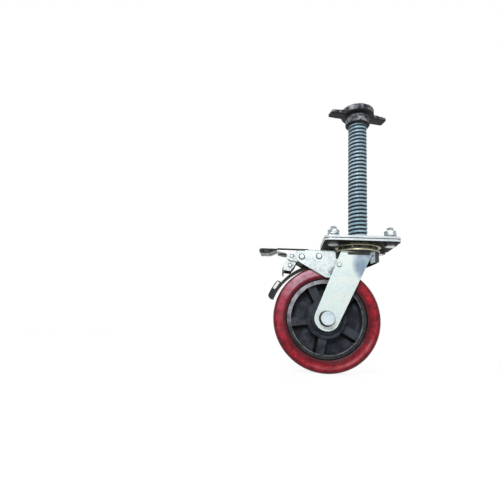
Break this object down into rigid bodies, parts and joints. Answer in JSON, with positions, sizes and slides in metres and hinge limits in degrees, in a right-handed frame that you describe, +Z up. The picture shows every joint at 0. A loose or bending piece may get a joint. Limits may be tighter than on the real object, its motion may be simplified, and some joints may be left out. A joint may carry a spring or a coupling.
{
  "type": "scaffold castor",
  "caption": "Swivel scaffold castor with a threaded jack stem, wing nut, bolted plates, double ball race, toggle brake and a red-tyred wheel.",
  "frame": {"origin": "jack screw's axis on the adapter plate's top face", "axes": "+Z up along the screw towards the scaffold tube, -X towards the trailing wheel and the pedal, Y along the wheel's axle"},
  "size_m": [0.265, 0.11, 0.549],
  "materials": {
    "screw_zinc": "bright zinc on a rolled thread",
    "plate_zinc": "bright zinc on pressed plate",
    "fork_zinc": "pale bluish bright zinc on pressed sheet",
    "pedal_zinc": "bright zinc on folded sheet, rubbed",
    "hardware_zinc": "bright zinc on turned and headed steel",
    "race_gold": "golden zinc on hardened rings",
    "ball_steel": "polished bearing steel",
    "dark_steel": "oiled dark steel",
    "spring_steel": "blued spring steel, worn bright on the raised pad",
    "weld_steel": "weld bead under zinc",
    "cast_nut": "rough black cast iron, rubbed lighter on its edges",
    "core_plastic": "moulded black plastic, dusty and scuffed",
    "tyre_red": "glossy dark red cast tyre"
  },
  "bodies": {
    "stem": {"jack_screw": "screw_zinc", "screw_weld": "weld_steel", "adapter_plate": "plate_zinc", "top_plate": "plate_zinc", "upper_race": "race_gold", "race_cup": "race_gold", "king_pin": "hardware_zinc", "king_pin_nut": "hardware_zinc", "plate_bolts": "hardware_zinc", "plate_washers": "hardware_zinc", "plate_nuts": "hardware_zinc"},
    "jack_nut": {"jack_nut": "cast_nut"},
    "fork": {"fork": "fork_zinc", "crown_race": "race_gold", "upper_balls": "ball_steel", "lower_balls": "ball_steel", "brake_bracket": "fork_zinc", "bracket_welds": "weld_steel", "bracket_rivets": "hardware_zinc", "pedal_pin": "hardware_zinc", "blade_pin": "hardware_zinc", "axle_bolt": "hardware_zinc", "axle_washers": "hardware_zinc", "axle_nut": "hardware_zinc", "axle_sleeve": "dark_steel", "bearing_inner_rings": "ball_steel", "bearing_balls": "ball_steel"},
    "wheel": {"wheel_core": "core_plastic", "tyre": "tyre_red", "bearing_outer_rings": "ball_steel"},
    "pedal": {"brake_pedal": "pedal_zinc", "toggle_pin": "hardware_zinc"},
    "link": {"toggle_link": "pedal_zinc", "press_pin": "dark_steel"},
    "blade": {"brake_blade": "spring_steel"}
  },
  "joints": [
    {"name": "nut_travel", "type": "slide", "parent": "stem", "child": "jack_nut", "axis": [0, 0, 1], "range_m": [-0.244, 0]},
    {"name": "swivel", "type": "hinge", "parent": "stem", "child": "fork", "pos_m": [0, 0, 0], "axis": [0, 0, 1], "continuous": true},
    {"name": "wheel_spin", "type": "hinge", "parent": "fork", "child": "wheel", "pos_m": [-0.062, 0, -0.155], "axis": [0, 1, 0], "continuous": true},
    {"name": "pedal_hinge", "type": "hinge", "parent": "fork", "child": "pedal", "pos_m": [-0.11096, 0, -0.03966], "axis": [0, -1, 0], "range_deg": [0, 50]},
    {"name": "link_hinge", "type": "hinge", "parent": "pedal", "child": "link", "pos_m": [-0.12996, 0, -0.03866], "axis": [0, 1, 0], "range_deg": [0, 62]},
    {"name": "blade_hinge", "type": "hinge", "parent": "fork", "child": "blade", "pos_m": [-0.07807, 0, -0.03769], "axis": [0, -1, 0], "range_deg": [0, 2.8]}
  ],
  "couplings": [
    {"joint": "link_hinge", "follows": "pedal_hinge", "ratio": 1.24},
    {"joint": "blade_hinge", "follows": "pedal_hinge", "ratio": 0.056}
  ]
}
